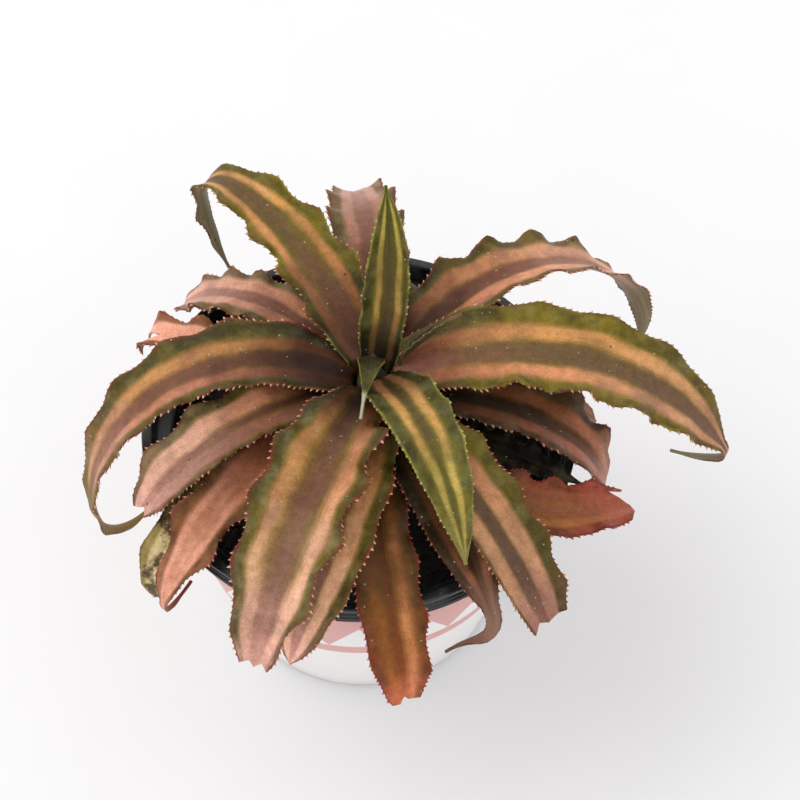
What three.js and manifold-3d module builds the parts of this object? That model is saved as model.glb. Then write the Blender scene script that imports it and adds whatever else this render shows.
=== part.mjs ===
// An earth star bromeliad, Cryptanthus bivittatus, growing in a black nursery pot
// that hangs by its collar in a tapered cover pot.  Millimetres, +Z up.  The origin
// is the middle of the cover pot's underside, on the surface that it stands on.
import * as THREE from 'three';
import { mergeVertices } from 'three/addons/utils/BufferGeometryUtils.js';
import Module from 'manifold-3d';

const wasm = await Module();
wasm.setup();

// Driving dimensions of the pots and what they hold.
const rimHeight = 80;          // top of the nursery pot's collar
const collarRadius = 60;       // outside of the collar, so the pot is a 12 cm pot
const collarHeight = 8;
const ridgeHeights = [1.6, 3.4, 5.2];   // of the collar's ridges, above its underside
const ridgeDepth = 0.7;
const ridgeHalf = 0.5;
const ridgeSetback = 0.9;      // of the ridges' crests from the lip
const lipWidth = 2.9;
const lipRound = 0.75;
const potWall = 1.4;
const potNeckRadius = 53.5;    // outside of the wall, just under the collar
const potFootRadius = 36;
const potFoot = 5;             // underside of the nursery pot
const coverHeight = rimHeight - collarHeight;
const coverTopRadius = 56.5;
const coverFootRadius = 39;
const coverWall = 2;
const coverFloor = 3;
const coverFootRound = 1.5;
const coverLipRound = 0.8;
const soilDepth = 15;          // soil below the rim
const soilMound = 3;           // rise of the soil towards the stem
const moundFoot = 34;          // radius at which the mound is half its height
const moundTop = 18;
const gap = 0.3;               // clearance between neighbouring pieces
const round = 72;              // sides of the pots
const drainCount = 6;
const drainRadius = 3.5;
const drainRing = 22;
const drainSides = 12;

// The stem stands a little off the pot's axis.
const stemAt = new THREE.Vector2(4, 2);
const stemRadius = 5;
const stemFoot = 38;           // floor of the hole in the soil
const budFoot = rimHeight + 19.5;
const budRadius = 3.2;
const stemTop = rimHeight + 30.5;
const stemSides = 24;

// Blade section and edge.
const bladeThick = 1.0;        // along the midrib
const bladeEdge = 0.66;        // along the margins
const toothPitch = 5.5;
const toothLength = 1.1;
const toothLean = 0.8;         // share of the pitch before the point
const stationPitch = 6;
const spineSteps = 120;
const innerRow = 0.55;         // where the rows between midrib and margin run
const bladeTipWidth = 0.9;
const cupIn = 0.2;             // share of the length over which the cup sets in
const rippleIn = 0.25;         // and the ripples
const dieOut = 0.15;           // share before the tip over which the ripples die out
const marginLag = 2.1;         // radians by which the right margin's ripples run ahead
const rippleDrift = 0.5;       // radians by which the ripples' pitch wanders
const driftRate = 5.1;
const crestShare = 0.45;       // how much of a ripple is drawn up to a point
const tailPower = 0.8;

const usualLeaf = {
  swerve: 0, droopPower: 1.2, curl: 0, curlFrom: 0.7, curlTo: 1, turn: 0,
  base: 0.5, belly: 0.36, fall: 2.4, tail: 0.05, tailWidth: 0.14, cup: 16,
  roll: 0, twist: 0, endTwist: 0, endFrom: 0.7, wave: [1.8, 1.8], waves: 6,
  splay: 0.3, out: stemRadius + 0.7,
};

// One entry a leaf, youngest first.  azimuth and swerve give its heading from above
// and how far that turns by the tip; lift is its rise at the stem and droop its whole
// fall, in degrees; seat is the height of its root above the rim.  wave is the height of
// the ripples on the left and the right margin, seen from the root, and splay how far a
// crest leans outwards, as a share of its height.
const leaves = {
  leaf_01: { azimuth: 262, lift: 14, droop: 34, length: 20, width: 7.4, seat: 29.7, base: 0.9,
    belly: 0.08, fall: 0.95, tail: 0.4, tailWidth: 0.2, cup: 14, wave: [0.2, 0.2], out: 2.2 },
  leaf_02: { azimuth: 70, swerve: 30, lift: 60, droop: 8, length: 48, width: 13.8, seat: 22,
    base: 0.75, belly: 0.3, cup: 28, wave: [0.5, 0.5], out: 3.9 },
  leaf_03: { azimuth: 22, swerve: -2, lift: 42, droop: 20, length: 21, width: 7, seat: 22.6,
    roll: 50, wave: [0.2, 0.2], out: 7.8 },
  leaf_04: { azimuth: 300, swerve: -18, lift: 34, droop: 80, length: 66, width: 18, seat: 21.9,
    base: 0.65, belly: 0.25, wave: [0.8, 1.2], out: 4.2 },
  leaf_05: { azimuth: 8.5, swerve: -38, lift: 20.5, droop: 101, droopPower: 1.3, length: 124,
    width: 27.5, seat: 20.1, base: 0.55, belly: 0.25, fall: 4.4, tail: 0.18, tailWidth: 0.16,
    curl: 85, curlFrom: 0.83, curlTo: 0.89, cup: 8, wave: [0.8, 3.6], waves: 7.2, splay: 0.4 },
  leaf_06: { azimuth: 114, swerve: 50, lift: 24, droop: 36, length: 111, width: 20.4, seat: 20.2,
    belly: 0.22, fall: 2.8, tail: 0.34, tailWidth: 0.34, curl: 95, curlFrom: 0.52, curlTo: 0.76,
    turn: 15, endTwist: -55, endFrom: 0.5, wave: [3.2, 1.1], waves: 8, splay: 0.8 },
  leaf_07: { azimuth: 173, swerve: 64, lift: 30, droop: 166, droopPower: 1.05, length: 143,
    width: 22.5, seat: 17.9, base: 0.55, belly: 0.185, fall: 2.6, tail: 0.354, tailWidth: 0.34,
    curl: 45, curlFrom: 0.79, endTwist: -30, endFrom: 0.554, wave: [3.2, 1], waves: 8.7,
    splay: 0.6 },
  leaf_08: { azimuth: 250, swerve: -3, lift: 26, droop: 92, length: 91, width: 27, seat: 19.3,
    base: 0.42, belly: 0.42, tail: 0.02, tailWidth: 0.3, wave: [3.8, 1.2], waves: 5.5,
    splay: 0.7 },
  leaf_09: { azimuth: 53, swerve: -64, lift: 18.9, droop: 118, droopPower: 1.7, length: 116,
    width: 23, seat: 14.6, base: 0.4, belly: 0.3, fall: 3.2, tail: 0.26, tailWidth: 0.5,
    twist: 38, endTwist: 60, endFrom: 0.62, wave: [1.9, 1.1], waves: 8.6 },
  leaf_10: { azimuth: 303, swerve: 6, lift: 24, droop: 88, length: 85, width: 19, seat: 16.9,
    belly: 0.42, fall: 4, tail: 0.02, tailWidth: 0.6, wave: [1.5, 1.3] },
  leaf_11: { azimuth: 201, swerve: 16, lift: 20.5, droop: 74, length: 73, width: 19, seat: 15.6,
    base: 0.45, fall: 5, tailWidth: 0.4, wave: [3, 1.4], waves: 5, splay: 0.6 },
  leaf_12: { azimuth: 348.3, swerve: 0, lift: 16.3, droop: 99, droopPower: 1.4, length: 75,
    width: 20, seat: 13.6, fall: 5, tailWidth: 0.5, wave: [1.8, 2.6], waves: 5, splay: 0.8 },
  leaf_13: { azimuth: 265, swerve: -28, lift: 19, droop: 85, length: 82, width: 23, seat: 14.7,
    base: 0.34, fall: 3.2, tailWidth: 0.3, wave: [2.4, 1.6], splay: 0.4 },
  leaf_14: { azimuth: 133, swerve: 20, lift: 14, droop: 72, length: 76, width: 17, seat: 13.2,
    fall: 5, tailWidth: 0.5, wave: [2, 1.4], waves: 7 },
  leaf_15: { azimuth: 297, swerve: -4, lift: 16, droop: 80, length: 95, width: 19, seat: 12.25,
    base: 0.28, tail: 0.3, tailWidth: 0.25, curlFrom: 0.72, curlTo: 0.84, turn: -140 },
  leaf_16: { azimuth: 90, swerve: 12, lift: 22, droop: 82, length: 87, width: 21, seat: 18.2,
    base: 0.34, fall: 3.2, tailWidth: 0.3, wave: [2.2, 2.2] },
  leaf_17: { azimuth: 3, swerve: -4, lift: 11, droop: 60, length: 61, width: 14, seat: 11.4,
    tailWidth: 0.5, wave: [2.4, 2.4] },
  leaf_18: { azimuth: 216.5, swerve: 24, lift: 11, droop: 74, droopPower: 1.3, length: 96,
    width: 18, seat: 12.3, fall: 3, tail: 0.18, tailWidth: 0.14, curl: 120, curlFrom: 0.78,
    curlTo: 0.94, wave: [3.2, 1.6], waves: 5, splay: 0.9 },
  leaf_19: { azimuth: 268, swerve: 22, lift: 12, droop: 92, droopPower: 1.35, length: 90,
    width: 17.5, seat: 11.2, base: 0.24, belly: 0.58, fall: 3.4, tail: 0.02, tailWidth: 0.42,
    wave: [1.6, 1.4] },
  leaf_20: { azimuth: 158, swerve: 4, lift: 7, droop: 26, length: 71, width: 11, seat: 10.9,
    belly: 0.7, tail: 0.02, tailWidth: 0.5, curl: 80, curlFrom: 0.76, wave: [2, 2] },
  leaf_21: { azimuth: 66, lift: 12, droop: 50, length: 44, width: 15, seat: 12 },
  leaf_22: { azimuth: 26, lift: 5, droop: 36, length: 46, width: 14, seat: 9.8 },
  leaf_23: { azimuth: 108, lift: 8, droop: 40, length: 48, width: 13, seat: 9.4 },
  leaf_24: { azimuth: 312, swerve: 8, lift: 4.3, droop: 33.6, length: 83, width: 18.5, seat: 9,
    belly: 0.6, fall: 3, tail: 0.02, tailWidth: 0.5, curlFrom: 0.3, curlTo: 0.85, turn: 66,
    wave: [1.4, 1.6] },
  leaf_25: { azimuth: 335, swerve: 6, lift: -1.6, droop: 12, length: 56, width: 12, seat: 7.4,
    base: 0.4 },
  leaf_26: { azimuth: 207.5, swerve: 30, lift: -4, droop: 6, length: 82, width: 18, seat: 7.9,
    tailWidth: 0.4, curl: 75, curlFrom: 0.68, wave: [1.2, 1.2] },
};

const degrees = (value) => THREE.MathUtils.degToRad(value);
const ease = (value) => THREE.MathUtils.smoothstep(value, 0, 1);

// Share of the full width at s, where 0 is the root and 1 the tip.
function widthShare(leaf, s) {
  if (s < leaf.belly) {
    return leaf.base + (1 - leaf.base) * Math.sin((s / leaf.belly) * Math.PI / 2);
  }
  const shoulder = 1 - leaf.tail;
  if (s < shoulder) {
    const fall = 1 - ((s - leaf.belly) / (shoulder - leaf.belly)) ** leaf.fall;
    return leaf.tailWidth + (1 - leaf.tailWidth) * fall;
  }
  return leaf.tailWidth * ((1 - s) / leaf.tail) ** tailPower;
}

// The blade's directions at s: along it, across it to its right, and up from it.
function bladeFrame(leaf, s) {
  const bend = ease((s - leaf.curlFrom) / (leaf.curlTo - leaf.curlFrom));
  const rise = degrees(leaf.lift - leaf.droop * s ** leaf.droopPower - leaf.curl * bend);
  const heading = degrees(leaf.azimuth + leaf.swerve * s + leaf.turn * bend);
  const [cosH, sinH, cosR, sinR] = [Math.cos(heading), Math.sin(heading), Math.cos(rise), Math.sin(rise)];
  return {
    along: new THREE.Vector3(cosR * cosH, cosR * sinH, sinR),
    across: new THREE.Vector3(sinH, -cosH, 0),
    up: new THREE.Vector3(-sinR * cosH, -sinR * sinH, cosR),
  };
}

// Points along the midrib at equal steps of its length.
function bladeSpine(leaf) {
  const heading = degrees(leaf.azimuth);
  const point = new THREE.Vector3(
    stemAt.x + leaf.out * Math.cos(heading),
    stemAt.y + leaf.out * Math.sin(heading),
    rimHeight + leaf.seat,
  );
  const spine = [point.clone()];
  for (let step = 0; step < spineSteps; step += 1) {
    const { along } = bladeFrame(leaf, (step + 0.5) / spineSteps);
    point.addScaledVector(along, leaf.length / spineSteps);
    spine.push(point.clone());
  }
  return spine;
}

// The margins' waves from -1 to 1, their crests drawn up to points.
function ripple(leaf, s, t) {
  const drift = rippleDrift * Math.sin(driftRate * s + leaf.azimuth);
  const turn = 2 * Math.PI * leaf.waves * s + (t > 0 ? marginLag : 0) + drift;
  const crest = 1 - 2 * Math.abs(Math.sin(turn / 2 - Math.PI / 4));
  return (1 - crestShare) * Math.sin(turn) + crestShare * crest;
}

// A point of the blade's middle surface; t runs from -1 to 1 across it, and reach
// carries a point of the margin outwards.
function bladePoint(leaf, spine, s, t, reach = 0) {
  const place = Math.min(Math.max(s, 0), 1) * spineSteps;
  const step = Math.min(Math.floor(place), spineSteps - 1);
  const centre = spine[step].clone().lerp(spine[step + 1], place - step);
  const { across, up } = bladeFrame(leaf, s);
  const half = Math.max(leaf.width * widthShare(leaf, s), bladeTipWidth) / 2;
  const cup = degrees(leaf.cup) * ease(s / cupIn);
  const calm = ease(s / rippleIn) * ease((1 - s) / dieOut) * (half / leaf.width) * 2;
  const height = leaf.wave[t > 0 ? 1 : 0] * calm * Math.abs(t) ** 3 * ripple(leaf, s, t);
  const side = half * t * Math.cos(cup) + Math.sign(t) * (reach + leaf.splay * height);
  const lifted = half * Math.sin(cup) * Math.abs(t) ** 1.5 + height;
  const late = ease((s - leaf.endFrom) / (1 - leaf.endFrom));
  const roll = degrees(leaf.roll + leaf.twist * s + leaf.endTwist * late);
  return centre
    .addScaledVector(across, side * Math.cos(roll) - lifted * Math.sin(roll))
    .addScaledVector(up, side * Math.sin(roll) + lifted * Math.cos(roll));
}

function bladeNormal(leaf, spine, s, t) {
  const small = 0.01;
  const from = Math.max(s - small, 0);
  const to = Math.min(s + small, 1);
  const along = bladePoint(leaf, spine, to, t).sub(bladePoint(leaf, spine, from, t));
  const across = bladePoint(leaf, spine, s, t + small).sub(bladePoint(leaf, spine, s, t - small));
  return across.cross(along).normalize();
}

// Rows of points along the blade: the two margins carry the teeth, the three
// rows between them are coarser.
function bladeRows(leaf) {
  const stations = Math.max(6, Math.round(leaf.length / stationPitch));
  const teeth = Math.max(3, Math.round(leaf.length / toothPitch));
  const inner = Array.from({ length: stations + 1 }, (_, i) => ({ s: i / stations, reach: 0 }));
  const margin = [{ s: 0, reach: 0 }];
  for (let tooth = 0; tooth < teeth; tooth += 1) {
    const full = tooth > 0 && tooth < teeth - 1;
    margin.push({ s: (tooth + toothLean) / teeth, reach: full ? toothLength : 0 });
    margin.push({ s: (tooth + 1) / teeth, reach: 0 });
  }
  return [-1, -innerRow, 0, innerRow, 1].map((t) => (
    (Math.abs(t) === 1 ? margin : inner).map((point) => ({ ...point, t }))
  ));
}

// Triangles between two neighbouring rows, always stepping along the row that lags.
function stitch(rowA, rowB) {
  const triangles = [];
  let a = 0;
  let b = 0;
  while (a < rowA.length - 1 || b < rowB.length - 1) {
    const stepA = b === rowB.length - 1 || (a < rowA.length - 1 && rowA[a + 1].s <= rowB[b + 1].s);
    if (stepA) {
      triangles.push([rowA[a], rowA[a + 1], rowB[b]]);
      a += 1;
    } else {
      triangles.push([rowA[a], rowB[b + 1], rowB[b]]);
      b += 1;
    }
  }
  return triangles;
}

function bladeGeometry(leaf) {
  const spine = bladeSpine(leaf);
  const rows = bladeRows(leaf);
  for (const row of rows) {
    for (const point of row) {
      const middle = bladePoint(leaf, spine, point.s, point.t, point.reach);
      const normal = bladeNormal(leaf, spine, point.s, point.t);
      const half = (bladeThick + (bladeEdge - bladeThick) * Math.abs(point.t)) / 2;
      point.top = middle.clone().addScaledVector(normal, half);
      point.bottom = middle.clone().addScaledVector(normal, -half);
    }
  }
  const positions = [];
  const face = (...points) => points.forEach((p) => positions.push(p.x, p.y, p.z));
  for (let row = 0; row < rows.length - 1; row += 1) {
    for (const [p, q, r] of stitch(rows[row], rows[row + 1])) {
      face(p.top, r.top, q.top);
      face(p.bottom, q.bottom, r.bottom);
    }
  }
  const wall = (p, q) => {
    face(p.top, q.top, q.bottom);
    face(p.top, q.bottom, p.bottom);
  };
  const [left, right] = [rows[0], rows[rows.length - 1]];
  for (let i = 0; i < left.length - 1; i += 1) {
    wall(left[i], left[i + 1]);
    wall(right[i + 1], right[i]);
  }
  for (let row = 0; row < rows.length - 1; row += 1) {
    wall(rows[row + 1][0], rows[row][0]);
    wall(rows[row].at(-1), rows[row + 1].at(-1));
  }
  const geometry = new THREE.BufferGeometry();
  geometry.setAttribute('position', new THREE.Float32BufferAttribute(positions, 3));
  return mergeVertices(geometry, 1e-4);
}

// A solid of revolution about Z from [radius, height] points, inside to outside.
function turned(outline, sides = round) {
  const points = outline.map(([radius, height]) => new THREE.Vector2(radius, height));
  return new THREE.LatheGeometry(points, sides).rotateX(Math.PI / 2);
}

function toSolid(geometry) {
  const bare = geometry.index ? geometry.toNonIndexed() : geometry.clone();
  bare.deleteAttribute('normal');
  bare.deleteAttribute('uv');
  const merged = mergeVertices(bare, 1e-4);
  const triVerts = [];
  const { index } = merged;
  for (let i = 0; i < index.count; i += 3) {
    const [a, b, c] = [index.getX(i), index.getX(i + 1), index.getX(i + 2)];
    if (a !== b && b !== c && c !== a) triVerts.push(a, b, c);
  }
  return new wasm.Manifold(new wasm.Mesh({
    numProp: 3,
    vertProperties: new Float32Array(merged.attributes.position.array),
    triVerts: new Uint32Array(triVerts),
  }));
}

function toGeometry(solid) {
  const { vertProperties, triVerts } = solid.getMesh();
  const geometry = new THREE.BufferGeometry();
  geometry.setAttribute('position', new THREE.BufferAttribute(vertProperties, 3));
  geometry.setIndex(new THREE.BufferAttribute(triVerts, 1));
  return geometry;
}

// The cover pot: a plain tapered cup with a closed flat base and a rounded lip.
function coverPotGeometry() {
  const lean = (coverTopRadius - coverFootRadius) / coverHeight;
  const inside = (height) => coverFootRadius - coverWall + lean * height;
  return turned([
    [0, 0],
    [coverFootRadius - coverFootRound, 0],
    [coverFootRadius, coverFootRound],
    [coverTopRadius - 0.2, coverHeight - coverLipRound],
    [coverTopRadius - coverLipRound, coverHeight],
    [inside(coverHeight) + coverLipRound, coverHeight],
    [inside(coverHeight), coverHeight - coverLipRound],
    [inside(coverFloor), coverFloor],
    [0, coverFloor],
  ]);
}

const potInside = (height) => {
  const lean = (potNeckRadius - potFootRadius) / (coverHeight - potFoot);
  return potFootRadius - potWall + lean * (height - potFoot);
};

// The nursery pot: a thin tapered wall under a stepped-out collar with three ridges
// round its outside, and drain holes through its floor.
function nurseryPotGeometry() {
  const shelf = coverHeight;
  const valley = collarRadius - ridgeSetback - ridgeDepth;
  const ridges = ridgeHeights.flatMap((height) => [
    [valley, shelf + height - ridgeHalf],
    [valley + ridgeDepth, shelf + height],
    [valley, shelf + height + ridgeHalf],
  ]);
  const inside = collarRadius - lipWidth;
  const shell = toSolid(turned([
    [0, potFoot],
    [potFootRadius, potFoot],
    [potNeckRadius, shelf],
    [valley, shelf],
    ...ridges,
    [collarRadius - lipRound, rimHeight - 2 * lipRound],
    [collarRadius, rimHeight - 1.5 * lipRound],
    [collarRadius - lipRound / 2, rimHeight],
    [inside + lipRound, rimHeight],
    [inside, rimHeight - lipRound],
    [inside - 0.7, shelf + potWall],
    [potInside(shelf + potWall), shelf + potWall],
    [potInside(potFoot + potWall), potFoot + potWall],
    [0, potFoot + potWall],
  ]));
  const drain = new THREE.CylinderGeometry(drainRadius, drainRadius, potWall * 3, drainSides);
  drain.rotateX(Math.PI / 2);
  let pot = shell;
  for (let i = 0; i < drainCount; i += 1) {
    const turn = (2 * Math.PI * i) / drainCount;
    const hole = drain.clone().translate(
      drainRing * Math.cos(turn),
      drainRing * Math.sin(turn),
      potFoot + potWall / 2,
    );
    pot = pot.subtract(toSolid(hole));
  }
  return toGeometry(pot);
}

// The soil fills the nursery pot and rises a little towards the stem, which stands in
// a plain hole.
function soilGeometry() {
  const floor = potFoot + potWall;
  const top = rimHeight - soilDepth;
  const body = toSolid(turned([
    [0, floor],
    [potInside(floor) - gap, floor],
    [potInside(top) - gap, top],
    [moundFoot, top + soilMound * 0.5],
    [moundTop, top + soilMound],
    [0, top + soilMound],
  ]));
  const holeRadius = stemRadius + gap;
  const hole = new THREE.CylinderGeometry(holeRadius, holeRadius, rimHeight, stemSides);
  hole.rotateX(Math.PI / 2);
  hole.translate(stemAt.x, stemAt.y, stemFoot + rimHeight / 2);
  return toGeometry(body.subtract(toSolid(hole)));
}

// The stem tapers to a small pointed bud between the youngest leaves.
function stemGeometry() {
  const outline = [
    [0, stemFoot],
    [stemRadius - 1.2, stemFoot],           // a rounded foot
    [stemRadius - 0.2, stemFoot + 2],
    [stemRadius, rimHeight],
    [stemRadius, budFoot - 1],
    [budRadius, budFoot],
    [budRadius * 0.8, (budFoot + stemTop) / 2],
    [0, stemTop],
  ];
  return turned(outline, stemSides);
}

const finishes = {
  cover: { color: 0xf1efec, roughness: 0.45 },
  pot: { color: 0x141516, roughness: 0.5 },
  soil: { color: 0x1c1714, roughness: 1 },
  stem: { color: 0x5b4a36, roughness: 0.9 },
  young: { color: 0x6d7040, roughness: 0.6 },
  leaf: { color: 0x84694d, roughness: 0.6 },
  old: { color: 0xa0604b, roughness: 0.6 },
  dry: { color: 0x8a7350, roughness: 0.85 },
};
const youngLeaves = ['leaf_01', 'leaf_02', 'leaf_03', 'leaf_04'];
const dryLeaves = ['leaf_25', 'leaf_26'];
const firstOldLeaf = 16;

function leafFinish(name) {
  if (youngLeaves.includes(name)) return finishes.young;
  if (dryLeaves.includes(name)) return finishes.dry;
  return Number(name.slice(-2)) >= firstOldLeaf ? finishes.old : finishes.leaf;
}

const plant = new THREE.Group();

function add(name, geometry, finish) {
  const material = new THREE.MeshStandardMaterial({ ...finish, metalness: 0 });
  const mesh = new THREE.Mesh(geometry, material);
  mesh.name = name;
  plant.add(mesh);
  return mesh;
}

add('cover_pot', coverPotGeometry(), finishes.cover);
add('nursery_pot', nurseryPotGeometry(), finishes.pot);
add('soil', soilGeometry(), finishes.soil);
add('stem', stemGeometry(), finishes.stem).position.set(stemAt.x, stemAt.y, 0);
for (const [name, shape] of Object.entries(leaves)) {
  add(name, bladeGeometry({ ...usualLeaf, ...shape }), leafFinish(name));
}

export default plant;
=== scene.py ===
import math
import random

import bpy
import numpy as np
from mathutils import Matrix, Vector, noise


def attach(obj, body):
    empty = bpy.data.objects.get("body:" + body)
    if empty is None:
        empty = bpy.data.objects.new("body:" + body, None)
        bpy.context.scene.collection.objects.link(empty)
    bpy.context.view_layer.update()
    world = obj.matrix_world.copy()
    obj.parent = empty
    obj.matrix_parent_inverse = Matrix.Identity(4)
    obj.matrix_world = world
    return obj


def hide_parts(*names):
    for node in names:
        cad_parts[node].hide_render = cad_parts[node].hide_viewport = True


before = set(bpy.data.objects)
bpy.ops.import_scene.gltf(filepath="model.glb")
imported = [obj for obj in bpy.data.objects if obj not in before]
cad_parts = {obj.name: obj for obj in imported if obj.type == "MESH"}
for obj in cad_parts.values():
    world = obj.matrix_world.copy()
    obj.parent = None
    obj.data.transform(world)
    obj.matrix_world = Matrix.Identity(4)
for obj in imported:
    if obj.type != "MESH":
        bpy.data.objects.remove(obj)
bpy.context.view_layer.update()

# An earth star bromeliad in a black nursery pot, hung in a tapered cover pot.
# Shapes are worked out in millimetres and turned into metres when a mesh is made.
random.seed(41)
mm = 0.001
rimHeight = 80  # the nursery pot's rim, from which the leaves are measured
stemAt = (4, 2)


def colour(text):
    # "#rrggbb" as Blender's linear colour
    parts = [int(text[i:i + 2], 16) / 255 for i in (1, 3, 5)]
    return tuple(p / 12.92 if p <= 0.04045 else ((p + 0.055) / 1.055) ** 2.4 for p in parts) + (1,)


# Camera: above and in front, looking down on the rosette
camera = {"place": (11.16, -347.12, 576.84), "tilt": 35.5, "lens": 99, "sensor": 36, "near": 0.01, "far": 20}

view = bpy.data.objects.new("camera", bpy.data.cameras.new("camera"))
view.location = Vector(camera["place"]) * mm
view.rotation_euler = (math.radians(camera["tilt"]), 0, 0)
view.data.lens = camera["lens"]
view.data.sensor_width = camera["sensor"]
view.data.clip_start = camera["near"]
view.data.clip_end = camera["far"]
bpy.context.scene.collection.objects.link(view)
bpy.context.scene.camera = view
bpy.context.scene.view_settings.view_transform = "Standard"
print("camera placed")


# Small helpers for node trees
def newMaterial(name):
    material = bpy.data.materials.new(name)
    material.use_nodes = True
    tree = material.node_tree
    tree.nodes.clear()
    output = tree.nodes.new("ShaderNodeOutputMaterial")
    shader = tree.nodes.new("ShaderNodeBsdfPrincipled")
    tree.links.new(shader.outputs[0], output.inputs[0])
    return material, tree, shader


def feed(tree, socket, value):
    if isinstance(value, bpy.types.NodeSocket):
        tree.links.new(value, socket)
    else:
        socket.default_value = value


def node(tree, kind, inputs=(), **settings):
    made = tree.nodes.new("ShaderNode" + kind)
    for key, value in settings.items():
        setattr(made, key, value)
    for key, value in dict(inputs).items():
        feed(tree, made.inputs[key], value)
    return made


def calc(tree, operation, first, second=0.0):
    return node(tree, "Math", {0: first, 1: second}, operation=operation).outputs[0]


def smooth(tree, value, low, high, bottom=0.0, top=1.0):
    # an eased step: bottom where value is under low, top where it is over high
    inputs = {0: value, 1: low, 2: high, 3: bottom, 4: top}
    return node(tree, "MapRange", inputs, interpolation_type="SMOOTHSTEP").outputs[0]


def mixed(tree, share, first, second, mode="MIX"):
    made = node(tree, "Mix", data_type="RGBA", blend_type=mode)
    for index, value in ((0, share), (6, first), (7, second)):
        feed(tree, made.inputs[index], value)
    return made.outputs[2]


def ramp(tree, value, stops, way="EASE"):
    made = node(tree, "ValToRGB", {0: value})
    band = made.color_ramp
    band.interpolation = way
    while len(band.elements) < len(stops):
        band.elements.new(1.0)
    for element, (place, shade) in zip(band.elements, stops):
        element.position = place
        element.color = shade
    return made.outputs[0]


def cloud(tree, place, size, detail=2.0, rough=0.5):
    # noise whose patches are about size millimetres across
    inputs = {"Vector": place, "Scale": 1 / (size * mm), "Detail": detail, "Roughness": rough}
    return node(tree, "TexNoise", inputs).outputs[0]


def heightOf(tree, place):
    # height over the table, in millimetres
    return calc(tree, "DIVIDE", node(tree, "SeparateXYZ", {0: place}).outputs[2], mm)


def relief(tree, shader, height, depth, strength):
    bump = node(tree, "Bump", {"Height": height, "Distance": depth * mm, "Strength": strength})
    tree.links.new(bump.outputs[0], shader.inputs["Normal"])


# Small helpers for meshes
def makePiece(name, points, faces, material, uv=None, sharpAngle=40):
    mesh = bpy.data.meshes.new(name)
    mesh.from_pydata((np.asarray(points) * mm).tolist(), [], [tuple(int(i) for i in f) for f in faces])
    mesh.shade_smooth()
    mesh.set_sharp_from_angle(angle=math.radians(sharpAngle))
    mesh.materials.append(material)
    if uv is not None:
        layer = mesh.uv_layers.new(name="blade")
        corners = np.zeros(len(mesh.loops), dtype=np.int32)
        mesh.loops.foreach_get("vertex_index", corners)
        layer.data.foreach_set("uv", np.asarray(uv, dtype=np.float32)[corners].ravel())
    piece = bpy.data.objects.new(name, mesh)
    bpy.context.scene.collection.objects.link(piece)
    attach(piece, "root")
    return piece


def giveNumber(piece, name, values):
    # one number a point, which the piece's material reads by name
    layer = piece.data.attributes.new(name, "FLOAT", "POINT")
    layer.data.foreach_set("value", np.asarray(values, dtype=np.float32))


def turned(outline, sides):
    # a solid of revolution from [radius, height] points that start and end on the axis
    rings = [p for p in outline if p[0] > 0]
    points = []
    for radius, height in rings:
        for k in range(sides):
            turn = 2 * math.pi * k / sides
            points.append((radius * math.cos(turn), radius * math.sin(turn), height))
    faces = []
    for r in range(len(rings) - 1):
        for k in range(sides):
            a, b = r * sides + k, r * sides + (k + 1) % sides
            faces.append((a, b, b + sides, a + sides))
    points += [(0, 0, outline[0][1]), (0, 0, outline[-1][1])]
    last = (len(rings) - 1) * sides
    for k in range(sides):
        faces.append((len(points) - 2, (k + 1) % sides, k))
        faces.append((len(points) - 1, last + k, last + (k + 1) % sides))
    return points, faces


def rounded(outline, radii, steps=4):
    # cuts the corners of an outline into short arcs, none past 0.45 of a side
    made = [outline[0]]
    for before, corner, after, radius in zip(outline, outline[1:], outline[2:], radii[1:-1]):
        here = Vector(corner)
        back, on = Vector(before) - here, Vector(after) - here
        reach = min(radius, back.length * 0.45, on.length * 0.45)
        if radius <= 0:
            made.append(tuple(corner))
            continue
        start, stop = here + back.normalized() * reach, here + on.normalized() * reach
        for k in range(steps + 1):
            t = k / steps
            made.append(tuple((1 - t) ** 2 * start + 2 * t * (1 - t) * here + t * t * stop))
    return made + [outline[-1]]


def ease(value):
    value = np.clip(value, 0, 1)
    return value * value * (3 - 2 * value)


# Cover pot: a white tapered cup with a plain pink band and a row of white triangles
coverPot = {
    "height": 72, "topRadius": 56.5, "footRadius": 39, "wall": 2, "floor": 3, "sides": 192,
    "bandFoot": 41, "lineFoot": 35, "triangles": 18, "triangleTop": 58, "inkEdge": 0.35,
    "white": "#f4f2f0", "shadedWhite": "#ebe8e6", "pink": "#d9a29c",
    "darkerFoot": "#a89f92", "darkerFootHeight": 7, "darkerFootShare": 0.35,
}


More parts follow.
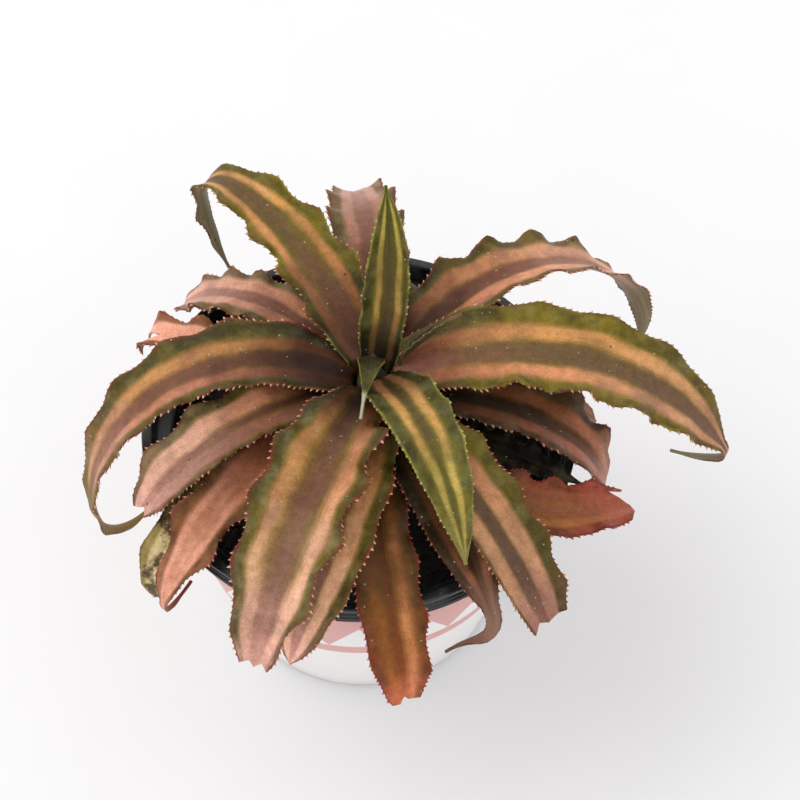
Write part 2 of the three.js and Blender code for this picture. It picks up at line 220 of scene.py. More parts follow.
def coverPotMaterial():
    c = coverPot
    material, tree, shader = newMaterial("printedWhitePot")
    place = node(tree, "TexCoord").outputs["Object"]
    split = node(tree, "SeparateXYZ", {0: place})
    height = heightOf(tree, place)
    turn = calc(tree, "ARCTAN2", split.outputs[1], split.outputs[0])
    tooth = calc(tree, "MULTIPLY", turn, c["triangles"] / (2 * math.pi))
    tooth = calc(tree, "PINGPONG", tooth, 0.5)
    # the triangles' sides: a point is white where it lies under them
    roof = calc(tree, "MULTIPLY", tooth, 2 * (c["triangleTop"] - c["bandFoot"]))
    roof = calc(tree, "ADD", roof, c["bandFoot"])
    edge = c["inkEdge"]
    above = smooth(tree, calc(tree, "SUBTRACT", height, roof), -edge, edge)
    onBand = smooth(tree, height, c["bandFoot"] - edge, c["bandFoot"] + edge)
    onLine = smooth(tree, height, c["lineFoot"] - edge, c["lineFoot"] + edge)
    underBand = calc(tree, "SUBTRACT", 1.0, onBand)
    pink = calc(tree, "ADD", calc(tree, "MULTIPLY", above, onBand), calc(tree, "MULTIPLY", onLine, underBand))
    inkWorn = smooth(tree, cloud(tree, place, 3, 4), 0.2, 0.42, 0.86, 1)
    pink = calc(tree, "MULTIPLY", pink, inkWorn)
    tint = mixed(tree, cloud(tree, place, 30, 3), colour(c["white"]), colour(c["shadedWhite"]))
    tint = mixed(tree, pink, tint, colour(c["pink"]))
    # darker and greyer towards the foot, in patches
    darkerFoot = smooth(tree, height, 0, c["darkerFootHeight"], c["darkerFootShare"], 0)
    darkerFoot = calc(tree, "MULTIPLY", darkerFoot, cloud(tree, place, 6, 4))
    tint = mixed(tree, darkerFoot, tint, colour(c["darkerFoot"]))
    feed(tree, shader.inputs["Base Color"], tint)
    grain = cloud(tree, place, 0.5, 3)
    feed(tree, shader.inputs["Roughness"], smooth(tree, grain, 0.2, 0.8, 0.36, 0.5))
    bumps = calc(tree, "ADD", calc(tree, "MULTIPLY", grain, 0.3), cloud(tree, place, 8))
    relief(tree, shader, bumps, 0.08, 0.5)
    return material


def makeCoverPot():
    c = coverPot
    lean = (c["topRadius"] - c["footRadius"]) / c["height"]
    outer = lambda height: c["footRadius"] + lean * height
    inner = lambda height: outer(height) - c["wall"]
    # the point just inside the foot's corner keeps its rounding small
    outline = [
        (0, 0), (c["footRadius"] - 3.5, 0), (c["footRadius"] - 2.8, 0), (outer(0), 0), (outer(14), 14),
        (outer(40), 40), (outer(c["height"]), c["height"]), (inner(c["height"]), c["height"]),
        (inner(c["floor"]), c["floor"]), (0, c["floor"]),
    ]
    outline = rounded(outline, [0, 0, 0, 2.2, 0, 0, 0.9, 0.9, 3, 0])
    points, faces = turned(outline, c["sides"])
    piece = makePiece("coverPot", points, faces, coverPotMaterial())
    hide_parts("cover_pot")


# Nursery pot: thin black plastic with a ridged collar and a softly rounded lip
nurseryPot = {
    "collarRadius": 60, "collarHeight": 8, "wall": 1.4, "neckRadius": 53.5, "footRadius": 36, "foot": 5,
    "ridges": (1.6, 3.4, 5.2), "ridgeDepth": 0.7, "ridgeSetback": 0.9, "ridgeFoot": 0.62, "ridgeTop": 0.18,
    "lipWidth": 2.9, "sides": 240, "drains": 6, "drainRadius": 3.5, "drainRing": 22, "drainTurn": 0.11,
    "black": "#191b1c", "dust": "#5c5a55", "splash": "#7a7062",
}


def nurseryPotMaterial():
    n = nurseryPot
    material, tree, shader = newMaterial("blackNurseryPlastic")
    place = node(tree, "TexCoord").outputs["Object"]
    # grey patches: dust, and a painted sheen on the collar, both heavier towards the rim
    dust = smooth(tree, cloud(tree, place, 9, 5, 0.65), 0.45, 0.75)
    dustAndSheenTowardsRim = smooth(tree, heightOf(tree, place), rimHeight - 14, rimHeight, 0.15, 0.5)
    dust = calc(tree, "MULTIPLY", dust, dustAndSheenTowardsRim)
    tint = mixed(tree, dust, colour(n["black"]), colour(n["dust"]))
    splash = smooth(tree, cloud(tree, place, 1.4, 3), 0.68, 0.74)
    tint = mixed(tree, calc(tree, "MULTIPLY", splash, 0.35), tint, colour(n["splash"]))
    feed(tree, shader.inputs["Base Color"], tint)
    feed(tree, shader.inputs["Roughness"], calc(tree, "ADD", calc(tree, "MULTIPLY", dust, 0.5), 0.3))
    fine = cloud(tree, place, 0.35, 3)
    wavy = calc(tree, "MULTIPLY", cloud(tree, place, 14), 2.0)
    relief(tree, shader, calc(tree, "ADD", fine, wavy), 0.08, 0.5)
    return material


def drainCutter():
    # round rods through the floor, turned a little so that no corner of a hole meets a spoke of it
    n = nurseryPot
    low, high = n["foot"] - 2, n["foot"] + 4
    cosine, sine = math.cos(n["drainTurn"]), math.sin(n["drainTurn"])
    rod, rodFaces = turned([(0, low), (n["drainRadius"], low), (n["drainRadius"], high), (0, high)], 24)
    points, faces = [], []
    for k in range(n["drains"]):
        turn = 2 * math.pi * k / n["drains"]
        x, y = n["drainRing"] * math.cos(turn), n["drainRing"] * math.sin(turn)
        faces += [[i + len(points) for i in face] for face in rodFaces]
        points += [(x + px * cosine - py * sine, y + px * sine + py * cosine, pz) for px, py, pz in rod]
    mesh = bpy.data.meshes.new("drainCutter")
    mesh.from_pydata((np.array(points) * mm).tolist(), [], faces)
    cutter = bpy.data.objects.new("drainCutter", mesh)
    bpy.context.scene.collection.objects.link(cutter)
    return cutter


def makeNurseryPot():
    n = nurseryPot
    shelf, bottom = rimHeight - n["collarHeight"], n["foot"] + n["wall"]
    lean = (n["neckRadius"] - n["footRadius"]) / (shelf - n["foot"])
    inside = lambda height: n["footRadius"] - n["wall"] + lean * (height - n["foot"])
    valley = n["collarRadius"] - n["ridgeSetback"] - n["ridgeDepth"]
    crest = valley + n["ridgeDepth"]
    lip = n["collarRadius"]
    outline = [(0, n["foot"]), (n["footRadius"], n["foot"]), (n["neckRadius"], shelf), (valley + 0.5, shelf)]
    radii = [0, 1.2, 0.2, 0.3]
    for height in n["ridges"]:
        for radius, lift, arc in ((valley, -n["ridgeFoot"], 0.2), (crest, -n["ridgeTop"], 0.3),
                                  (crest, n["ridgeTop"], 0.3), (valley, n["ridgeFoot"], 0.2)):
            outline.append((radius, shelf + height + lift))
            radii.append(arc)
    outline += [
        (valley, rimHeight - 1.75), (lip, rimHeight - 1.3), (lip, rimHeight),
        (lip - n["lipWidth"], rimHeight), (lip - n["lipWidth"] - 0.7, shelf + n["wall"]),
        (inside(shelf + n["wall"]), shelf + n["wall"]),
        (inside(bottom), bottom), (0, bottom),
    ]
    radii += [0.2, 0.4, 0.8, 0.9, 0.6, 0.6, 1.2, 0]
    points, faces = turned(rounded(outline, radii), n["sides"])
    piece = makePiece("nurseryPot", points, faces, nurseryPotMaterial())
    cutter = drainCutter()
    cut = piece.modifiers.new("drains", "BOOLEAN")
    cut.object, cut.operation = cutter, "DIFFERENCE"
    cooked = bpy.data.meshes.new_from_object(piece.evaluated_get(bpy.context.evaluated_depsgraph_get()))
    piece.modifiers.clear()
    piece.data = cooked
    bpy.data.objects.remove(cutter)
    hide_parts("nursery_pot")


# Soil: a dark mix with grains and bark chips lying on it
soil = {
    "top": 65, "mound": 3, "moundFoot": 34, "moundTop": 18, "edge": 50.0, "foot": 6.4, "footRadius": 34.6,
    "sides": 160, "rings": 60, "rough": 1.1, "sunk": 0.6, "bedTone": 0.1,
    "grains": {"count": 1900, "small": 0.5, "big": 1.5, "flat": 0.75},
    "chips": {"count": 170, "small": 1.6, "big": 3.4, "flat": 0.35},
    "uneven": 0.28, "tones": (0.05, 0.1, 0.15, 0.2, 0.3, 0.42),
    "dark": "#15110e", "damp": "#241a13", "brown": "#3a2c20", "pale": "#7d6a50",
}


def soilHeight(x, y):
    s = soil
    radius = math.hypot(x, y)
    if radius > s["moundFoot"]:
        rise = 0.5 * (s["edge"] - radius) / (s["edge"] - s["moundFoot"])
    elif radius < s["moundTop"]:
        rise = 1.0
    else:
        rise = 0.5 + 0.5 * (s["moundFoot"] - radius) / (s["moundFoot"] - s["moundTop"])
    lumps = noise.fractal(Vector((x, y, 3.1)) / 7, 0.8, 2.1, 4)
    return s["top"] + s["mound"] * max(rise, 0) + s["rough"] * lumps - s["sunk"]


def soilMaterial():
    material, tree, shader = newMaterial("pottingMix")
    place = node(tree, "TexCoord").outputs["Object"]
    tone = node(tree, "Attribute", attribute_name="tone").outputs["Fac"]
    speck = cloud(tree, place, 1.1, 5, 0.7)
    stops = [(0.2, "dark"), (0.62, "damp"), (0.85, "brown"), (1.0, "pale")]
    stage = calc(tree, "ADD", calc(tree, "MULTIPLY", speck, 0.5), tone)
    tint = ramp(tree, stage, [(at, colour(soil[key])) for at, key in stops], "LINEAR")
    feed(tree, shader.inputs["Base Color"], tint)
    feed(tree, shader.inputs["Roughness"], smooth(tree, speck, 0.3, 0.7, 0.7, 0.95))
    relief(tree, shader, speck, 0.5, 0.8)
    return material


def makeSoilBed(material):
    s = soil
    sides, rings = s["sides"], s["rings"]
    points, faces = [(0, 0, soilHeight(0, 0))], []
    for r in range(1, rings + 1):
        radius = s["edge"] * r / rings
        for k in range(sides):
            turn = 2 * math.pi * k / sides
            x, y = radius * math.cos(turn), radius * math.sin(turn)
            points.append((x, y, soilHeight(x, y)))
    for k in range(sides):
        faces.append((0, 1 + k, 1 + (k + 1) % sides))
    for r in range(rings - 1):
        for k in range(sides):
            a, b = 1 + r * sides + k, 1 + r * sides + (k + 1) % sides
            faces.append((a, a + sides, b + sides, b))
    rim = 1 + (rings - 1) * sides
    for k in range(sides):
        turn = 2 * math.pi * k / sides
        points.append((s["footRadius"] * math.cos(turn), s["footRadius"] * math.sin(turn), s["foot"]))
        faces.append((rim + k, rim + sides + k, rim + sides + (k + 1) % sides, rim + (k + 1) % sides))
    points.append((0, 0, s["foot"]))
    for k in range(sides):
        faces.append((len(points) - 1, rim + sides + (k + 1) % sides, rim + sides + k))
    piece = makePiece("soilBed", points, faces, material, sharpAngle=70)
    giveNumber(piece, "tone", [s["bedTone"]] * len(points))
    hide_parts("soil")


def makeSoilGrains(material):
    # each grain is an uneven icosahedron, squashed, turned about and laid on the soil
    s = soil
    golden = (1 + math.sqrt(5)) / 2
    corners = np.array([
        (-1, golden, 0), (1, golden, 0), (-1, -golden, 0), (1, -golden, 0),
        (0, -1, golden), (0, 1, golden), (0, -1, -golden), (0, 1, -golden),
        (golden, 0, -1), (golden, 0, 1), (-golden, 0, -1), (-golden, 0, 1),
    ]) / 1.9
    sheets = [
        (0, 11, 5), (0, 5, 1), (0, 1, 7), (0, 7, 10), (0, 10, 11), (1, 5, 9), (5, 11, 4),
        (11, 10, 2), (10, 7, 6), (7, 1, 8), (3, 9, 4), (3, 4, 2), (3, 2, 6), (3, 6, 8),
        (3, 8, 9), (4, 9, 5), (2, 4, 11), (6, 2, 10), (8, 6, 7), (9, 8, 1),
    ]
    points, faces, tone = [], [], []
    for kind in (s["grains"], s["chips"]):
        for _ in range(kind["count"]):
            radius, turn = s["edge"] * 0.975 * math.sqrt(random.random()), random.uniform(0, 2 * math.pi)
            x, y = radius * math.cos(turn), radius * math.sin(turn)
            size = random.uniform(kind["small"], kind["big"])
            stretch = np.array((size, size * random.uniform(0.5, 1), size * kind["flat"])) / 2
            spin, tip = random.uniform(0, 2 * math.pi), random.uniform(-0.5, 0.5)
            cosine, sine = math.cos(spin), math.sin(spin)
            turnZ = np.array([[cosine, -sine, 0], [sine, cosine, 0], [0, 0, 1]])
            cosine, sine = math.cos(tip), math.sin(tip)
            turnX = np.array([[1, 0, 0], [0, cosine, -sine], [0, sine, cosine]])
            jitter = 1 + s["uneven"] * np.array([random.uniform(-1, 1) for _ in range(36)]).reshape(12, 3)
            own = (corners * jitter * stretch) @ turnX.T @ turnZ.T + (x, y, soilHeight(x, y) + size * 0.12)
            faces += [[i + len(points) for i in face] for face in sheets]
            points += own.tolist()
            tone += [random.choice(s["tones"])] * 12
    piece = makePiece("soilGrains", points, faces, material, sharpAngle=25)
    giveNumber(piece, "tone", tone)


# Stem: short, ringed with the scars of shed leaves, and ending in a bud
stem = {
    "foot": 60, "radius": 4.9, "scars": 9, "scarDepth": 0.55,
    "budFoot": rimHeight + 18.5, "budRadius": 2.6, "top": rimHeight + 29,
    "bark": "#2e2119", "brown": "#5a4330", "green": "#34331c", "greenFrom": 94, "greenTo": 102,
}


def stemMaterial():
    s = stem
    material, tree, shader = newMaterial("stemBark")
    place = node(tree, "TexCoord").outputs["Object"]
    grain = cloud(tree, node(tree, "Mapping", {0: place, 3: (1, 1, 0.2)}).outputs[0], 1.2, 5, 0.7)
    tint = mixed(tree, grain, colour(s["bark"]), colour(s["brown"]))
    young = smooth(tree, heightOf(tree, place), s["greenFrom"], s["greenTo"])
    tint = mixed(tree, young, tint, colour(s["green"]))
    feed(tree, shader.inputs["Base Color"], tint)
    feed(tree, shader.inputs["Roughness"], smooth(tree, grain, 0.2, 0.8, 0.7, 0.9))
    relief(tree, shader, grain, 0.3, 0.7)
    return material


def makeStem():
    s = stem
    outline = [(0, s["foot"]), (s["radius"], s["foot"])]
    step = (s["budFoot"] - 2 - s["foot"]) / s["scars"]
    for k in range(s["scars"]):
        low = s["foot"] + k * step
        outline += [(s["radius"] - s["scarDepth"], low + 0.35 * step), (s["radius"], low + 0.85 * step)]
    outline += [
        (s["radius"] - 0.6, s["budFoot"] - 1), (s["budRadius"], s["budFoot"] + 1),
        (s["budRadius"] * 0.7, (s["budFoot"] + s["top"]) / 2 + 1), (0, s["top"]),
    ]
    points, faces = turned(rounded(outline, [0.4] * len(outline), 3), 48)
    bent = []
    for x, y, z in points:
        push = 1 + 0.09 * noise.noise(Vector((x * 0.35, y * 0.35, z * 0.12)))
        bent.append((x * push + stemAt[0], y * push + stemAt[1], z))
    piece = makePiece("stemColumn", bent, faces, stemMaterial(), sharpAngle=70)
    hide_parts("stem")


makeCoverPot()
makeNurseryPot()
pottingMix = soilMaterial()
makeSoilBed(pottingMix)
makeSoilGrains(pottingMix)
makeStem()
print("pots, soil and stem made")

# Leaf finishes.  Each list of colours runs from the root to the tip at bandStops: centre, margin, and
# two kinds of stripe, of which rosy is the pinker.  halo is the green that edges the stripes, edge is
# the rim's own tint and glow a painted backlit glow on it, under is the blade's back, blush what its
# end fades to, and bloom how much scurf, with its painted sheen, there is.
bandStops = (0.05, 0.38, 0.72, 1)
leafLooks = {
    "green": {
        "centre": ("#4a3a2c", "#5c4e34", "#56542a", "#5e5a2a"),
        "margin": ("#302c10", "#4a481c", "#5e5a24", "#6a662a"),
        "stripe": ("#7c6440", "#9c8a4c", "#a39a4e", "#96904a"),
        "rosy": ("#a87a5c", "#b08c5c", "#b09c60", "#969050"),
        "halo": "#726820", "edge": "#8c8450", "backlitGlow": "#a8a656", "tooth": "#c4bc94",
        "under": "#7a7c50", "blush": "#8f7a4a", "bloomAndSheen": 0.14,
    },
    "olive": {
        "centre": ("#7c564c", "#685440", "#685046", "#805e56"),
        "margin": ("#4e441e", "#706524", "#605426", "#56402a"),
        "stripe": ("#8e6046", "#b68c5c", "#b6906c", "#b48a7e"),
        "rosy": ("#8c5f46", "#b8846a", "#b28a72", "#ac847a"),
        "halo": "#766a1e", "edge": "#805432", "backlitGlow": "#98923c", "tooth": "#dcb496",
        "under": "#a39b7a", "blush": "#a07462", "bloomAndSheen": 0.12,
    },
    "mauve": {
        "centre": ("#3c201a", "#6a463e", "#82625a", "#b08a82"),
        "margin": ("#3a3216", "#50491c", "#5a512a", "#705c48"),
        "stripe": ("#5e3a20", "#a27c52", "#bc9a7e", "#cda89a"),
        "rosy": ("#6e4032", "#bc8872", "#cfa897", "#d3aaa2"),
        "halo": "#746420", "edge": "#843e34", "backlitGlow": "#8c7240", "tooth": "#e4b8a8",
        "under": "#a09472", "blush": "#c0968a", "bloomAndSheen": 0.14,
    },
    "salmon": {
        "centre": ("#6a3a20", "#92604a", "#c2927e", "#d6aa9e"),
        "margin": ("#3c2a18", "#5e4028", "#7c5438", "#a87460"),
        "stripe": ("#745030", "#a2705e", "#ca9a8a", "#daaaa0"),
        "rosy": ("#80503a", "#a87264", "#cc9e8e", "#daaca2"),
        "halo": "#7c5a2c", "edge": "#8c4438", "backlitGlow": "#b0705c", "tooth": "#dca898",
        "under": "#a87c64", "blush": "#d4a294", "bloomAndSheen": 0.1,
    },
    "ember": {
        "centre": ("#38200f", "#54341a", "#744422", "#9c5e3e"),
        "margin": ("#3a2210", "#4c2e1a", "#704022", "#94533a"),
        "stripe": ("#3c2814", "#60401c", "#90642c", "#a86c40"),
        "rosy": ("#4c3018", "#845a36", "#c48e66", "#bc8468"),
        "halo": "#6a5820", "edge": "#803026", "backlitGlow": "#8c5a34", "tooth": "#cc8a7a",
        "under": "#946044", "blush": "#b4745a", "bloomAndSheen": 0.06,
    },
    "russet": {
        "centre": ("#3e2414", "#6a4430", "#865a44", "#96604e"),
        "margin": ("#381e14", "#583224", "#7e4638", "#8c4e42"),
        "stripe": ("#4c3018", "#7e5634", "#986a46", "#a26c58"),
        "rosy": ("#4c2a1e", "#70402f", "#88503f", "#965a4c"),
        "halo": "#8a6424", "edge": "#782c26", "backlitGlow": "#a05038", "tooth": "#b0605a",
        "under": "#946044", "blush": "#a4584c", "bloomAndSheen": 0.04,
    },
    "dark": {
        "centre": ("#24160b", "#342318", "#583a28", "#8c6a58"),
        "margin": ("#241c0d", "#3a301a", "#54402e", "#7a5c4e"),
        "stripe": ("#3c2614", "#6c482c", "#946650", "#a87e6a"),
        "rosy": ("#3a261a", "#664434", "#946858", "#a88070"),
        "halo": "#443a18", "edge": "#60322a", "backlitGlow": "#70503c", "tooth": "#c89484",
        "under": "#8e6c5a", "blush": "#9c7262", "bloomAndSheen": 0.12,
    },
    "dead": {
        "centre": ("#4c3c26", "#948460", "#bcae88", "#c8bc9c"),
        "margin": ("#3c2c1a", "#604c30", "#807048", "#988a60"),
        "stripe": ("#6a5434", "#a6966c", "#c6b894", "#d0c4a6"),
        "rosy": ("#5c4a2e", "#8c7a54", "#a89870", "#b8aa84"),
        "halo": "#8c7e54", "edge": "#54402c", "backlitGlow": "#8c7a54", "tooth": "#8c7a54",
        "under": "#a4966e", "blush": "#a08e68", "bloomAndSheen": 0,
    },
}

# One entry a leaf, youngest first, in millimetres and degrees; leafDefaults holds what an entry leaves
# out.  Places along a blade are shares of its length, and pairs are for the left and the right margin,
# seen from the root.
# Course: azimuth and swerve are the heading from above and how far it turns by the tip, lift the rise
# at the stem and droop the whole fall, seat the root's height above the rim and out how far it stands
# from the stem's middle.  curl and turn bend the blade down and round between curlFrom and curlTo.
# Outline: base is the width at the root, belly the widest place, fall how late the blade narrows, and
# tail and tailWidth its drawn-out end.  bitten lowers that end at places across the blade.
# Section: cup lifts the margins, and roll, twist and endTwist turn the blade about its length.  wave
# and waves are the ripples' height and number, and splay how far they swing sideways.
# Marks: bands are where the stripe and then the margin begin and are full, out from the middle line,
# which shift moves to the right.  stripes and rosy are each stripe's strength and pinkness.  shade
# brightens the whole leaf, dark is the light left at its root by painted shade, and teeth the teeth's
# size.  halo, glow, blush, scurf and blotch are strengths, glow being a painted backlit glow on the rim
# and scurf carrying a painted sheen, and tip is the colour of a dried end and where it starts.
leafDefaults = {
    "swerve": 0, "droopPower": 1.2, "out": 5.7,
    "base": 0.5, "belly": 0.36, "fall": 2.4, "tail": 0.05, "tailWidth": 0.14, "cup": 16, "roll": 0,
    "twist": 0, "endTwist": 0, "endFrom": 0.7, "curl": 0, "curlFrom": 0.7, "curlTo": 1, "turn": 0,
    "wave": (1.8, 1.8), "waves": 6, "splay": 0.3, "teeth": 1, "bitten": (),
    "slot": "leaf", "look": "mauve", "shade": 1, "dark": 0.6, "bands": (0.18, 0.36, 0.54, 0.74), "shift": 0,
    "stripes": (1, 1), "rosy": (0.5, 0.5), "halo": 0.6, "backlitGlow": 0.5, "blush": 0.2, "blushFrom": 0.6,
    "scurfAndSheen": 1, "blotch": 0, "tip": None,
}
